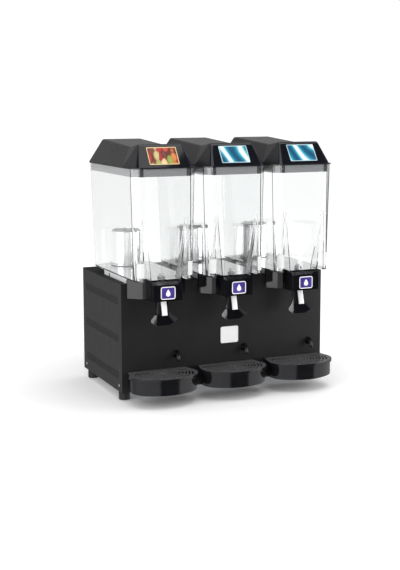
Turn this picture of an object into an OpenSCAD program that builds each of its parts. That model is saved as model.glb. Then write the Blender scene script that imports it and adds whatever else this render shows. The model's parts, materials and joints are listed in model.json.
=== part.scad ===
// Cold drink dispenser with three clear bowls on a refrigerated cabinet.
// Millimetres, +Z up, front towards -Y, origin on the floor under the middle of the whole object.

/* [Cabinet] */
// Depth of the cabinet from front face to rear edge
cabinet_d = 351; // [293:1:430]
// Height of the cabinet from the feet to the top of the deck
cabinet_h = 321; // [300:1:390]
// Height of the feet
foot_h = 26; // [15:1:35]
// Radius of a foot
foot_r = 16.5; // [12:0.5:22]
// Distance of each foot's edge from the cabinet sides
foot_inset = 2; // [2:1:40]
// Distance of the front feet's edges from the front panel
foot_setback = 16; // [8:1:40]
// Thickness of the sheet steel panels
sheet = 1.2; // [0.8:0.1:2]
// Thickness of the top deck
deck_t = 2.2; // [1.6:0.1:4]
// Width of the folded lips that hold the panels together
lip_w = 12; // [8:1:20]
// Free space between the outer lids and the cabinet sides
side_margin = 8; // [0:1:40]
// How far the rear panel sits in from the rear edges
rear_recess = 18; // [16:1:30]
// How far a screw head stands proud of its panel
screw_proud = 1.5; // [1:0.1:2.5]
// Radius of a screw head
screw_r = 4.5; // [3:0.1:6]

/* [Vents] */
// Height of a band of slots
vent_h = 22; // [14:1:28]
// Width of one slot
vent_w = 2.2; // [1.5:0.1:3]
// Distance between neighbouring slots
vent_pitch = 5.6; // [4.5:0.1:8]
// Height of the lowest band's middle above the base of the panel
vent_low = 47; // [30:1:60]
// Depth of the highest band's middle below the deck
vent_high = 55; // [30:1:70]
// Distance of the slots from the front and rear edges
vent_margin = 28; // [16:1:60]
// Radius of a small round hole
dot_r = 1.4; // [0.8:0.1:2.2]

/* [Bowl] */
// Width of a bowl at its rim
bowl_w = 196; // [176:1:236]
// How far each side wall leans in from rim to floor
bowl_draft = 8; // [2:1:14]
// How far the rear wall leans out from floor to rim
rear_draft = 12; // [0:1:20]
// Height of a bowl from the underside of its floor to its rim
bowl_h = 317; // [264:1:381]
// Thickness of the clear wall
bowl_wall = 3; // [2:0.1:4]
// Thickness of the floor
floor_t = 3.5; // [3:0.1:5]
// Height of the floor above the deck
seat_h = 14; // [10:1:20]
// How far the nose stands out in front of the cabinet
nose_reach = 80; // [74:1:90]
// Width of the flat front between the corner chamfers
front_w = 154; // [146:1:160]
// Depth of the corner chamfers from front to back
chamfer_d = 22; // [12:1:30]
// Radius of the rear corners
bowl_corner_r = 14; // [8:1:24]
// Gap between a bowl's back wall and the rear edge of the cabinet
bowl_rear_gap = 61; // [54:1:80]
// Width of the nose at the floor
nose_w = 93; // [84:1:104]
// Width of the nose where the flutes run out
nose_top_w = 127; // [110:1:130]
// Height of the flutes above the floor
flute_h = 182; // [120:1:230]
// Depth of the flutes at the floor
flute_d = 38; // [20:1:46]
// Width of the column between a flute and its corner chamfer
column_w = 11; // [8:1:16]

/* [Lid] */
// How far the flange stands out past the bowl's rim
lid_overhang = 2; // [1:0.5:6]
// Space between the lids of neighbouring stations
lid_gap = 22; // [14:1:60]
// Height of a lid above the rim
lid_h = 72; // [56:1:90]
// Thickness of the moulding
lid_wall = 3; // [2.5:0.1:3.6]
// Thickness of the flange
flange_t = 3; // [2:0.5:5]
// How far the sides lean in towards the roof
lid_lean = 30; // [10:1:40]
// How far the front leans back from flange to brow
lid_front_lean = 51; // [40:1:58]
// How much lower the brow over the front is than the rear of the roof
brow_drop = 5; // [3:1:10]
// How much lower the front end of the roof is than its rear
roof_fall = 14; // [8:1:18]
// Radius of the roof's side and rear edges
roof_r = 10; // [5:1:16]
// Depth of the skirt inside the rim
skirt_h = 22; // [12:1:30]
// Width of the inset panel on the front
panel_w = 90; // [70:1:104]
// Height of the inset panel along the slope
panel_h = 57; // [40:1:60]
// Depth of the inset
panel_t = 1.6; // [1:0.1:2]

/* [Tap] */
// Width of the front of the tap cover
cover_w = 89; // [80:1:100]
// How far the cover stands out in front of the cabinet
cover_reach = 94; // [88:1:104]
// Height of the cover
cover_h = 56; // [48:1:64]
// Wall of the cover
cover_wall = 2.5; // [2:0.1:3.5]
// Angle of the spout from upright
tap_lean = 14.4; // [8:0.2:20]
// Distance of the outlet in front of the cabinet
tap_reach = 43; // [38:1:48]
// Radius of the spout
spout_r = 8; // [6.6:0.1:9.6]
// Length of the spout below the floor
spout_l = 105; // [90:1:120]
// Radius of the flow bore
flow_r = 5; // [4:0.1:5.5]
// Radius of the valve stem
stem_r = 2.5; // [1.5:0.1:3]
// Distance of the lever pivot in front of the stem
pivot_offset = 12; // [10:0.5:14]
// Depth of the pivot below the floor, along the spout
pivot_drop = 38; // [34:1:42]
// Width of the lever's neck
neck_w = 37; // [34:1:42]
// Width of the lever's pad
pad_w = 81; // [66:1:90]
// Thickness of the lever
lever_t = 4.5; // [3:0.1:6]
// Length of the lever from the neck to the bottom of the pad
lever_l = 78.4; // [65:1:94]
// Angle that each cheek of the pad turns forward
cheek_angle = 25; // [10:1:35]
// Height of the white corner clips
clip_h = 41; // [24:1:50]
// Thickness of the corner clips
clip_t = 2; // [1.2:0.1:3]

/* [Evaporator and mixer] */
// Radius of the evaporator
evaporator_r = 44; // [36:1:53]
// Height of the evaporator above the deck
evaporator_h = 124; // [100:1:160]
// Gap between the evaporator and the bowl's back wall
evaporator_gap = 6; // [5.5:0.5:12]
// Wall of the evaporator
evaporator_wall = 2; // [1:0.1:3]
// Radius of the impeller's spindle
spindle_r = 3; // [2:0.1:5]
// Height of the impeller
impeller_h = 6.5; // [6:0.5:14]
// Radius of the mixer's drive shaft
shaft_r = 4; // [3:0.1:6]

/* [Drip tray] */
// How far the tray stands out in front of the cabinet
tray_reach = 134; // [122:1:160]
// Height of the tray's underside above the floor
tray_z = 40; // [28:1:60]
// Height of the tray
tray_h = 48; // [40:1:58]
// Space between neighbouring trays
tray_gap = 14; // [6:1:40]
// Wall of the tray
tray_wall = 3; // [2:0.5:4]
// Height of the rim band
tray_band_h = 9; // [7:1:14]
// How far the rim band stands out past the wall
tray_band_out = 4; // [3:0.5:6]
// Radius of the front corners
tray_corner_r = 60; // [40:1:70]
// Radius of the front curve
tray_front_r = 130; // [115:1:170]
// Thickness of the grid
grid_t = 4; // [3:0.5:6]
// Distance between the rings of the grid
ring_pitch = 9.5; // [8:0.5:13]
// Width of a ring slot
ring_slot = 5; // [3:0.5:6]

/* [Fits] */
// Clearance between fixed pieces
fit_gap = 0.2; // [0.1:0.05:0.4]
// Clearance between pieces that slide or lift off
slide_gap = 0.5; // [0.3:0.1:1]
// Radial clearance of a shaft or pin in its hole
run_gap = 0.06; // [0.02:0.01:0.1]

/* [Hidden] */
$fn = 48;
STATIONS = ["left", "middle", "right"];
FIXED_NODES = ["base_plate", "front_panel", "left_side_panel", "right_side_panel", "rear_panel", "top_deck",
               "feet", "panel_screws", "compressor", "condenser", "fan_motor", "fan_blade", "refrigerant_pipes",
               "power_inlet", "mixer_motors", "drain_spouts", "bowl_gaskets", "switch_housings",
               "cooling_switch", "mixer_switch", "thermostat_knob"];
STATION_NODES = ["bowl", "bowl_clips", "tap_cover", "tap_spout", "tap_lever", "valve_stem", "lid", "lid_panel",
                 "drip_tray", "drip_grid", "evaporator", "impeller", "drive_magnet"];

// Overall sizes
lid_w = bowl_w + 2 * lid_overhang;
station_pitch = lid_w + lid_gap;
overall_w = 2 * station_pitch + lid_w + 2 * side_margin;
overall_d = cabinet_d + tray_reach;
front_y = overall_d / 2 - cabinet_d;
rear_y = overall_d / 2;
side_x = overall_w / 2 - screw_proud;
base_z = foot_h;
deck_z = foot_h + cabinet_h;
deck_low = deck_z - deck_t;
inner_x = side_x - sheet;
inner_front = front_y + sheet;
vent_levels = [vent_low, (vent_low + cabinet_h - vent_high) / 2, cabinet_h - vent_high];
rear_face = rear_y - rear_recess;

// Bowl levels and outlines
bowl_z = deck_z + seat_h;
floor_z = bowl_z + floor_t;
rim_z = bowl_z + bowl_h;
top_z = rim_z + lid_h;
nose_y = front_y - nose_reach;
bowl_rear = rear_y - bowl_rear_gap;
low_half = bowl_w / 2 - bowl_draft;
rim_rear = bowl_rear + rear_draft;
function bowl_half(z) = low_half + bowl_draft * (z - bowl_z) / bowl_h;
function bowl_back(z) = bowl_rear + rear_draft * (z - bowl_z) / bowl_h;
// Share of an outline's growth that slides its chamfer points along their edges
chamfer_shift = 0.43;
corner_steps = 6;
function plan(half, front_half, front, rear, r, grow) = concat(
    [[-front_half - chamfer_shift * grow, front - grow], [front_half + chamfer_shift * grow, front - grow],
     [half + grow, front + chamfer_d - chamfer_shift * grow]],
    [for (i = [0 : corner_steps]) let (a = 90 * i / corner_steps)
        [half - r + (r + grow) * cos(a), rear - r + (r + grow) * sin(a)]],
    [for (i = [0 : corner_steps]) let (a = 90 + 90 * i / corner_steps)
        [-half + r + (r + grow) * cos(a), rear - r + (r + grow) * sin(a)]],
    [[-half - grow, front + chamfer_d - chamfer_shift * grow]]);
function bowl_plan(z, grow) = plan(bowl_half(z), front_w / 2, nose_y, bowl_back(z), bowl_corner_r, grow);
slice = 0.01;

// Evaporator place and the bowl's hole round it
evaporator_y = bowl_rear - bowl_wall - evaporator_gap - evaporator_r;
evaporator_top = deck_z + evaporator_h;
hole_r = evaporator_r + 2;
collar_w = 4;
collar_h = 8;
gasket_r = evaporator_r + 10;
flange_r = evaporator_r + 8;

// Tap: the spout's frame has its origin under the floor and its z axis up the spout
tap_y = front_y - tap_reach;
boss_r = spout_r + 3.5;
boss_up = 8;
boss_down = 14;
socket_d = 9;
pin_r = 1.8;
trunnion_r = 3;
arm_t = 4;
arm_gap = 0.7;
pin_y = tap_y - pivot_drop * sin(tap_lean);
pin_z = bowl_z - pivot_drop * cos(tap_lean);
pivot_y = pin_y - pivot_offset;
pivot_z = pin_z;
stem_travel = 6;
cover_low = bowl_z - cover_h;
ear_t = 4.5;
ear_x = neck_w / 2 + arm_gap;

// Tray and grid levels
tray_half = (station_pitch - tray_gap) / 2;
tray_top = tray_z + tray_h;
grid_z = tray_top - grid_t - 1;
tray_back = front_y - fit_gap - 0.2;
tray_rim = 2;

module at_station(i) translate([(i - 1) * station_pitch, 0, 0]) children();
module both_sides() for (s = [0, 1]) mirror([s, 0, 0]) children();
module tap_frame() translate([0, tap_y, bowl_z]) rotate([-tap_lean, 0, 0]) children();
// A rod between two points
module rod(p, q, r) {
    d = q - p;
    translate(p) rotate([0, acos(d.z / norm(d)), atan2(d.y, d.x)]) cylinder(r = r, h = norm(d));
}

// Cabinet

module base_plate() color("dimgray") {
    lip_from = inner_front + lip_w + 2;
    lip_to = rear_face - sheet - lip_w - 2;
    translate([-inner_x + fit_gap, inner_front + fit_gap, base_z])
        cube([2 * (inner_x - fit_gap), rear_face - 2 * sheet - front_y - 2 * fit_gap, sheet]);
    both_sides() translate([inner_x - fit_gap - sheet, lip_from, base_z])
        cube([sheet, lip_to - lip_from, lip_w]);
}

// A panel with folded lips at both ends, which stand inside the side panels
module folded_panel(y, toward, half) {
    lip_z = base_z + sheet + fit_gap;
    top = deck_low - fit_gap;
    translate([-half, y, base_z]) cube([2 * half, sheet, top - base_z]);
    both_sides() translate([inner_x - fit_gap - sheet, toward > 0 ? y : y - lip_w, lip_z])
        cube([sheet, lip_w + sheet, top - lip_z]);
}

tongue_x = 60;
tongue_w = 20;
tongue_t = 4;
tongue_l = 12;
tongue_z = tray_z + 30;
drain_x = 63;
drain_z = 128;
drain_r = 5.5;
drain_flange_r = 11.5;
drain_bend_r = 13;
drain_tip = 6;

module front_panel() color([0.1, 0.1, 0.1]) difference() {
    folded_panel(front_y, 1, side_x);
    for (i = [0 : 2]) at_station(i) {
        for (s = [-1, 1])
            translate([s * tongue_x - tongue_w / 2 - slide_gap, front_y - 1, tongue_z - slide_gap])
                cube([tongue_w + 2 * slide_gap, sheet + 2, tongue_t + 2 * slide_gap]);
        translate([drain_x, front_y - 1, drain_z]) rotate([-90, 0, 0]) cylinder(r = drain_r + fit_gap, h = sheet + 2);
    }
}

// Outline of a vented side panel, with its bands of slots and rows of small holes
module side_sheet() {
    from = inner_front + fit_gap;
    to = rear_y;
    slots = floor((to - from - 2 * vent_margin) / vent_pitch);
    dot_columns = 5;
    dot_step = 12.4;
    dot_rows = floor((vent_levels[1] - vent_levels[0] - vent_h) / dot_step) - 1;
    difference() {
        translate([from, base_z]) square([to - from, deck_low - fit_gap - base_z]);
        for (level = vent_levels) for (k = [0 : slots])
            translate([from + vent_margin + k * vent_pitch, base_z + level - vent_h / 2]) square([vent_w, vent_h]);
        for (b = [0, 1]) for (c = [0 : dot_columns - 1]) for (r = [0 : dot_rows - 1])
            translate([to - vent_margin - 4 - c * (to - from - 2 * vent_margin - 8) / (dot_columns - 1),
                       base_z + (vent_levels[b] + vent_levels[b + 1]) / 2 + (r - (dot_rows - 1) / 2) * dot_step])
                circle(r = dot_r, $fn = 16);
        for (p = side_screws()) translate(p) circle(r = screw_shank_r + fit_gap);
    }
}
screw_shank_r = 2;
screw_front = 25;
screw_rear = 7.5;
screw_up = 18;
function side_screws() = [for (y = [inner_front + screw_front, rear_face - screw_rear]) [y, base_z + screw_up]];
module stand_on_side() rotate([90, 0, 90]) linear_extrude(sheet) children();

module left_side_panel() color([0.24, 0.24, 0.23]) translate([-side_x, 0, 0]) stand_on_side() side_sheet();
module right_side_panel() color([0.24, 0.24, 0.23]) translate([inner_x, 0, 0]) stand_on_side() side_sheet();

// Places of the controls on the rear panel, seen from the front
switch_x = [-250, -205];
switch_z = deck_z - 70;
knob_x = -150;
inlet_x = -250;
inlet_z = base_z + 60;
cutout_w = 27;
cutout_h = 20;
inlet_w = 27;
inlet_h = 20;
knob_shaft_r = 3;

module rear_panel() color([0.16, 0.16, 0.16]) difference() {
    folded_panel(rear_face - sheet, -1, inner_x - fit_gap);
    louvre_l = 60;
    louvre_h = 4;
    for (c = [0 : 3]) for (r = [0 : 8])
        translate([-80 + c * 90, rear_face - sheet - 1, base_z + 45 + r * 22])
            cube([louvre_l, sheet + 2, louvre_h]);
    for (x = switch_x) translate([x, rear_face, switch_z])
        cube([cutout_w + 2 * fit_gap, 4 * sheet, cutout_h + 2 * fit_gap], center = true);
    translate([inlet_x, rear_face, inlet_z])
        cube([inlet_w + 2 * fit_gap, 4 * sheet, inlet_h + 2 * fit_gap], center = true);
    translate([knob_x, rear_face - 2 * sheet, switch_z]) rotate([-90, 0, 0])
        cylinder(r = knob_shaft_r + run_gap, h = 3 * sheet);
}

module top_deck() color([0.07, 0.07, 0.07]) difference() {
    union() {
        translate([-side_x, front_y, deck_low]) cube([2 * side_x, cabinet_d, deck_t]);
        lip_in = inner_x - 2 * fit_gap - 2 * sheet;
        lip_from = inner_front + lip_w + 2 * sheet;
        lip_to = rear_face - lip_w - 3 * sheet;
        both_sides() translate([lip_in - sheet, lip_from, deck_low - lip_w])
            cube([sheet, lip_to - lip_from, lip_w + 1]);
    }
    for (i = [0 : 2]) at_station(i) translate([0, evaporator_y, deck_low - 1])
        cylinder(r = evaporator_r + fit_gap, h = deck_t + 2);
}

module feet() color([0.05, 0.05, 0.05]) {
    x = side_x - foot_inset - foot_r;
    for (y = [front_y + foot_setback + foot_r, rear_face - foot_r]) for (s = [-1, 1])
        translate([s * x, y, 0]) rotate_extrude() {
            square([foot_r - 2, foot_h]);
            translate([0, 2]) square([foot_r, foot_h - 6]);
            translate([foot_r - 2, 2]) circle(r = 2);
        }
}

// Domed screw, its head on the plane z = 0 and its shank going down
module screw() {
    rotate_extrude() intersection() {
        translate([0, screw_proud - screw_dome_r]) circle(r = screw_dome_r);
        square([screw_r, screw_proud]);
    }
    translate([0, 0, -sheet]) cylinder(r = screw_shank_r, h = sheet + 0.1);
}
screw_dome_r = (screw_r * screw_r + screw_proud * screw_proud) / (2 * screw_proud);

module panel_screws() color("lightgray") {
    both_sides() for (p = side_screws()) translate([side_x, p.x, p.y]) rotate([0, 90, 0]) screw();
}

// Cooling set inside the cabinet

plate_top = base_z + sheet;
compressor_x = station_pitch / 2;
compressor_y = front_y + 120;
compressor_r = 68;
compressor_h = 165;
grommet_h = 10;
stub_h = 18;
pipe_r = 4;

module compressor() color([0.08, 0.08, 0.08]) translate([compressor_x, compressor_y, plate_top]) {
    corner = 26;
    translate([0, 0, grommet_h]) rotate_extrude() {
        square([compressor_r - corner, compressor_h]);
        translate([0, corner]) square([compressor_r, compressor_h - 2 * corner]);
        for (z = [corner, compressor_h - corner]) translate([compressor_r - corner, z]) circle(r = corner);
    }
    for (a = [45 : 90 : 315]) rotate(a) {
        translate([40, -12, grommet_h]) cube([compressor_r + 8 - 40, 24, 4]);
        translate([compressor_r, 0, 0]) cylinder(r = 9, h = grommet_h + 1);
    }
    translate([0, 0, grommet_h + compressor_h - 1]) cylinder(r = pipe_r, h = stub_h + 1);
}

condenser_x = -inner_x + 16;
condenser_w = 44;
condenser_h = 190;
condenser_d = 210;
condenser_y = front_y + (cabinet_d - rear_recess - condenser_d) / 2;
fan_y = condenser_y + condenser_d / 2;
fan_z = plate_top + condenser_h / 2;
fan_r = 85;

// Finned block: end plates, fins and the tubes through them
module condenser() color("silver") translate([condenser_x, condenser_y, plate_top]) {
    fins = 20;
    fin_t = 1;
    tube_r = 5;
    for (k = [0 : fins]) translate([0, k * (condenser_d - fin_t) / fins, 0]) cube([condenser_w, fin_t, condenser_h]);
    for (k = [0 : 4]) for (x = [condenser_w / 4, 3 * condenser_w / 4])
        translate([x, -6, (k + 0.5) * condenser_h / 5]) rotate([-90, 0, 0]) cylinder(r = tube_r, h = condenser_d + 12);
    translate([condenser_w / 4, -6, condenser_h * 0.9]) cylinder(r = pipe_r, h = condenser_h * 0.1 + 14);
}

fan_x = condenser_x + condenser_w + 14;
fan_w = 22;
fan_shaft_r = 3;
fan_motor_l = 60;

module fan_motor() color([0.2, 0.2, 0.22]) translate([fan_x + fan_w + 8, fan_y, fan_z]) {
    rotate([0, 90, 0]) cylinder(r = 34, h = fan_motor_l);
    translate([-fan_w - 8, 0, 0]) rotate([0, 90, 0]) cylinder(r = fan_shaft_r, h = fan_w + 9);
    translate([18, -30, plate_top - fan_z]) cube([24, 60, fan_z - plate_top - 20]);
    translate([4, -36, plate_top - fan_z]) cube([52, 72, 2]);
}

module fan_blade() color([0.15, 0.15, 0.16]) translate([fan_x, fan_y, fan_z]) rotate([0, 90, 0]) {
    hub_r = 20;
    blade_t = 1.6;
    difference() {
        union() {
            cylinder(r = hub_r, h = fan_w);
            for (a = [0 : 72 : 288]) rotate(a) intersection() {
                cylinder(r = fan_r, h = fan_w);
                translate([hub_r - 4, 0, fan_w / 2]) rotate([28, 0, 0]) translate([0, -30, -blade_t / 2])
                    cube([fan_r, 60, blade_t]);
            }
        }
        translate([0, 0, -1]) cylinder(r = fan_shaft_r + run_gap, h = fan_w + 2);
    }
}

// Quarter bend of a tube at the corner c, from the direction a to the direction b
module tube_bend(c, a, b, bend_r, r) {
    o = c + (b - a) * bend_r;
    n = cross(a, b);
    multmatrix([[-b.x, a.x, n.x, o.x], [-b.y, a.y, n.y, o.y], [-b.z, a.z, n.z, o.z]])
        rotate_extrude(angle = 90) translate([bend_r, 0]) circle(r = r);
}

// Copper line from the compressor to the condenser, with the filter drier in it
module refrigerant_pipes() color([0.72, 0.45, 0.2]) {
    start = [compressor_x, compressor_y, plate_top + grommet_h + compressor_h + stub_h];
    end = [condenser_x + condenser_w / 4, condenser_y - 6, plate_top + condenser_h + 14];
    run_z = max(start.z, end.z) + 30;
    turn_y = front_y + 24;
    bend_r = 14;
    route = [start, [start.x, start.y, run_z], [start.x, turn_y, run_z], [end.x, turn_y, run_z],
             [end.x, end.y, run_z], end];
    way = [for (k = [0 : len(route) - 2]) (route[k + 1] - route[k]) / norm(route[k + 1] - route[k])];
    last = len(way) - 1;
    for (k = [0 : last])
        rod(route[k] + way[k] * (k > 0 ? bend_r : 0), route[k + 1] - way[k] * (k < last ? bend_r : 0), pipe_r);
    for (k = [1 : last]) tube_bend(route[k], way[k - 1], way[k], bend_r, pipe_r);
    drier_l = 90;
    drier_r = 11;
    rod([-drier_l / 2, turn_y, run_z], [drier_l / 2, turn_y, run_z], drier_r);
}

// Socket for the mains lead, with three pins in its mouth
module power_inlet() color([0.04, 0.04, 0.04]) translate([inlet_x, rear_face, inlet_z]) {
    flange = 4;
    body_d = 22;
    mouth_d = 16;
    difference() {
        union() {
            translate([-inlet_w / 2 - flange, 0, -inlet_h / 2 - flange])
                cube([inlet_w + 2 * flange, 3, inlet_h + 2 * flange]);
            translate([-inlet_w / 2, -body_d, -inlet_h / 2]) cube([inlet_w, body_d + 1, inlet_h]);
        }
        translate([-inlet_w / 2 + 2, 3 - mouth_d, -inlet_h / 2 + 2]) cube([inlet_w - 4, mouth_d + 1, inlet_h - 4]);
    }
    for (p = [[-7, -2], [0, 2], [7, -2]])
        translate([p.x - 1, 2 - mouth_d, p.y - 2]) cube([2, mouth_d - 4, 4]);
}

motor_plate_z = deck_low - 30;
motor_r = 30;
motor_h = 58;
leg_r = 4;

module mixer_motors() color([0.55, 0.55, 0.57]) for (i = [0 : 2]) at_station(i) translate([0, evaporator_y, 0])
    difference() {
        union() {
            translate([0, 0, motor_plate_z - motor_h]) cylinder(r = motor_r, h = motor_h + 1);
            translate([0, 0, motor_plate_z]) cylinder(r = flange_r, h = 3);
            translate([0, 0, motor_plate_z + 2]) cylinder(r = shaft_r + 6, h = 12);
            for (a = [45 : 90 : 315]) rotate(a) translate([flange_r - leg_r - 1, 0, motor_plate_z + 2])
                cylinder(r = leg_r, h = deck_low - 3 - motor_plate_z - 2);
        }
        translate([0, 0, motor_plate_z - 20]) cylinder(r = shaft_r + run_gap, h = 40);
    }

// Condensate spouts on the front panel: a collar and an elbow that turns down
module drain_spouts() color([0.03, 0.03, 0.03]) for (i = [0 : 2]) at_station(i)
    translate([drain_x, front_y, drain_z]) {
        difference() {
            union() {
                rotate([90, 0, 0]) cylinder(r = drain_flange_r, h = 4);
                translate([0, sheet + 6, 0]) rotate([90, 0, 0]) cylinder(r = drain_r, h = sheet + 12);
                translate([0, -6, -drain_bend_r]) rotate([0, -90, 0]) rotate_extrude(angle = 90, start = 270)
                    translate([drain_bend_r, 0]) circle(r = drain_r);
                translate([0, -6 - drain_bend_r, -drain_bend_r - drain_tip]) cylinder(r = drain_r, h = drain_tip);
            }
            translate([0, -6 - drain_bend_r, -drain_bend_r - drain_tip - 1]) cylinder(r = drain_r - 1.5, h = drain_tip + 1);
        }
    }

// Sealing ring round each evaporator, on which the bowl's floor rests
module bowl_gaskets() color([0.12, 0.12, 0.12]) for (i = [0 : 2]) at_station(i)
    translate([0, evaporator_y, deck_z]) difference() {
        union() {
            cylinder(r = gasket_r, h = seat_h);
            cylinder(r = hole_r - slide_gap, h = seat_h + floor_t + 2);
        }
        translate([0, 0, -1]) cylinder(r = evaporator_r, h = seat_h + floor_t + 4);
    }

// Rear controls

rocker_w = 21;
rocker_h = 18;
rocker_rest = 10;
rocker_pin_r = 1.5;
housing_t = 2;
housing_d = 14;

module switch_housings() color([0.04, 0.04, 0.04]) for (x = switch_x) translate([x, rear_face, switch_z]) difference() {
    union() {
        translate([-cutout_w / 2 - 3, 0, -cutout_h / 2 - 3]) cube([cutout_w + 6, housing_t, cutout_h + 6]);
        translate([-cutout_w / 2, -housing_d, -cutout_h / 2]) cube([cutout_w, housing_d + 1, cutout_h]);
    }
    translate([-rocker_w / 2 - slide_gap, -housing_d + 2, -rocker_h / 2])
        cube([rocker_w + 2 * slide_gap, housing_d + 3, rocker_h]);
    rotate([0, 90, 0]) cylinder(r = rocker_pin_r + run_gap, h = cutout_w - 1, center = true);
}

// Rocker, pressed at its top; its trunnions turn in the housing
module rocker() translate([0, rear_face, switch_z]) {
    half = rocker_h / 2 - 0.9;
    rotate([-rocker_rest, 0, 0]) rotate([90, 0, 90]) linear_extrude(rocker_w, center = true)
        polygon([[-4, -half], [-4, half], [4, half], [2.4, 0], [4, -half]]);
    rotate([0, 90, 0]) cylinder(r = rocker_pin_r, h = rocker_w + 4, center = true);
}
module cooling_switch() color("green") translate([switch_x[0], 0, 0]) rocker();
module mixer_switch() color([0.1, 0.1, 0.1]) translate([switch_x[1], 0, 0]) rocker();

module thermostat_knob() color([0.06, 0.06, 0.06]) translate([knob_x, rear_face, switch_z]) rotate([-90, 0, 0]) {
    knob_r = 16;
    knob_h = 13;
    grips = 12;
    difference() {
        translate([0, 0, slide_gap]) cylinder(r = knob_r, h = knob_h);
        for (k = [0 : grips - 1]) rotate(k * 360 / grips) translate([knob_r + 1.2, 0, 3]) cylinder(r = 2.4, h = knob_h);
    }
    translate([-1, -knob_r + 3, knob_h - 1]) cube([2, knob_r - 3, 2.4]);
    translate([0, 0, -sheet - 14]) cylinder(r = knob_shaft_r, h = sheet + 15);
}

// Bowl

flute_top = bowl_z + flute_h;
flute_outer = front_w / 2 - column_w;
// Wedge that cuts a flute beside the nose, grown by a wall thickness for the inner side
module flute(grow) hull() {
    low = [nose_w / 2 - grow, flute_outer + grow];
    high = [nose_top_w / 2 - grow, flute_outer + grow];
    translate([low[0], nose_y - 10, bowl_z - 1]) cube([low[1] - low[0], 10 + flute_d + grow, slice]);
    translate([high[0], nose_y - 10, flute_top + grow]) cube([high[1] - high[0], 10 + grow, slice]);
}

// The drafted body between two levels
module bowl_body(z0, z1, grow) hull() for (z = [z0, z1 - slice])
    translate([0, 0, z]) linear_extrude(slice) polygon(bowl_plan(z, grow));

// Feet of the side walls that stand on the deck
module seat_rails() {
    from = front_y + 6;
    to = front_y + 193;
    notch_w = 12;
    both_sides() difference() {
        translate([low_half - bowl_wall, from, deck_z]) cube([bowl_wall, to - from, seat_h + 1]);
        translate([low_half - bowl_wall - 1, to - 50, deck_z - 1]) cube([bowl_wall + 2, notch_w, seat_h - 2]);
    }
}

module bowl() color([0.85, 0.9, 0.92, 0.35]) difference() {
    union() {
        difference() {
            difference() {
                bowl_body(bowl_z, rim_z, 0);
                both_sides() flute(0);
            }
            difference() {
                bowl_body(floor_z, rim_z + 1, -bowl_wall);
                both_sides() flute(bowl_wall);
            }
        }
        translate([0, evaporator_y, bowl_z]) cylinder(r = hole_r + collar_w, h = floor_t + collar_h);
        tap_frame() translate([0, 0, -boss_down]) cylinder(r = boss_r, h = boss_down + boss_up);
        seat_rails();
    }
    translate([0, evaporator_y, bowl_z - 1]) cylinder(r = hole_r, h = floor_t + collar_h + 2);
    tap_frame() {
        translate([0, 0, -boss_down - 1]) cylinder(r = spout_r + fit_gap, h = socket_d + 1);
        translate([0, 0, -boss_down]) cylinder(r = flow_r, h = boss_down + boss_up + 1);
    }
}

// White clips at the foot of the front corners
module bowl_clips() color("white") {
    clip_z = bowl_z + 12;
    clip_w = 18;
    both_sides() intersection() {
        difference() {
            bowl_body(bowl_z, rim_z, fit_gap + clip_t);
            bowl_body(bowl_z - 1, rim_z + 1, fit_gap);
        }
        translate([front_w / 2 - column_w + 1, nose_y - 10, clip_z]) cube([clip_w, chamfer_d + 2, clip_h]);
    }
}

// Lid

foot_z = rim_z + flange_t;
foot_band = 1;
lid_half = bowl_w / 2 - 1;
lid_front = nose_y - 2;
lid_rear = rim_rear - 1;
roof_half = lid_half - lid_lean;
roof_rear = lid_rear - 20;
// Crease between the lid's body and its front, at the flange and at the roof
crease_low = front_y + 2;
crease_high = front_y + 38;
crease_step = 0.3;
crease_lap = 2;
// Sloped front with round foot corners and a round brow
front_half = front_w / 2 + 10;
front_r = 14;
brow_r = 16;
brow_y = lid_front + lid_front_lean;
brow_z = top_z - brow_drop - brow_r;
brow_l = norm([lid_front_lean, brow_z - foot_z - foot_band]);
front_face_l = sqrt(brow_l * brow_l - brow_r * brow_r);
front_angle = atan2(lid_front_lean, brow_z - foot_z - foot_band) - asin(brow_r / brow_l);
// Level where a form starts: the outer one on the flange, the inner one a little below
function form_low(inset) = foot_z - (inset > 0 ? 0.5 : 0);

// Round end of the roof's side edge at the crease
module crease_end(r) translate([roof_half - roof_r, crease_high + crease_lap, top_z - roof_fall - roof_r])
    rotate([90, 0, 0]) cylinder(r = r, h = crease_lap, $fn = 32);

// Rear body of the lid: planar sides and a roof that falls towards the front
module lid_body(inset) hull() {
    half = lid_half - inset;
    r = roof_r - inset;
    translate([-half, crease_low, form_low(inset)]) cube([2 * half, lid_rear - inset - crease_low, foot_band]);
    both_sides() {
        translate([roof_half - roof_r, roof_rear - roof_r, top_z - roof_r]) {
            sphere(r = r, $fn = 32);
            rotate([90, 0, 0]) cylinder(r = r, h = 1, $fn = 32);
        }
        crease_end(r);
    }
}

// Round brow over the front, with softened ends
module lid_brow(inset) translate([0, brow_y, brow_z]) rotate([0, 90, 0])
    for (e = [[0, 4], [1.2, 1.2], [4, 0]])
        cylinder(r = brow_r - e[0] - inset, h = 2 * (roof_half - e[1] - inset), center = true);

// Front of the lid: the sloped face under the brow, and a facet on each side back to the crease
module lid_front_form(inset) hull() {
    half = lid_half - inset - crease_step;
    translate([-half, crease_low, form_low(inset)]) cube([2 * half, crease_lap, foot_band]);
    lid_brow(inset);
    both_sides() {
        translate([front_half - front_r, lid_front + front_r, form_low(inset)])
            cylinder(r = front_r - inset, h = foot_band);
        crease_end(roof_r - inset - crease_step);
    }
}

module lid_form(inset) {
    lid_body(inset);
    lid_front_form(inset);
}

// Frame on the sloped front, its origin at the middle of the front's foot and its z axis out of the face
module front_face_frame() translate([0, lid_front, foot_z + foot_band]) rotate([90 - front_angle, 0, 0]) children();
panel_up = front_face_l - panel_h - 1;

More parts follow.
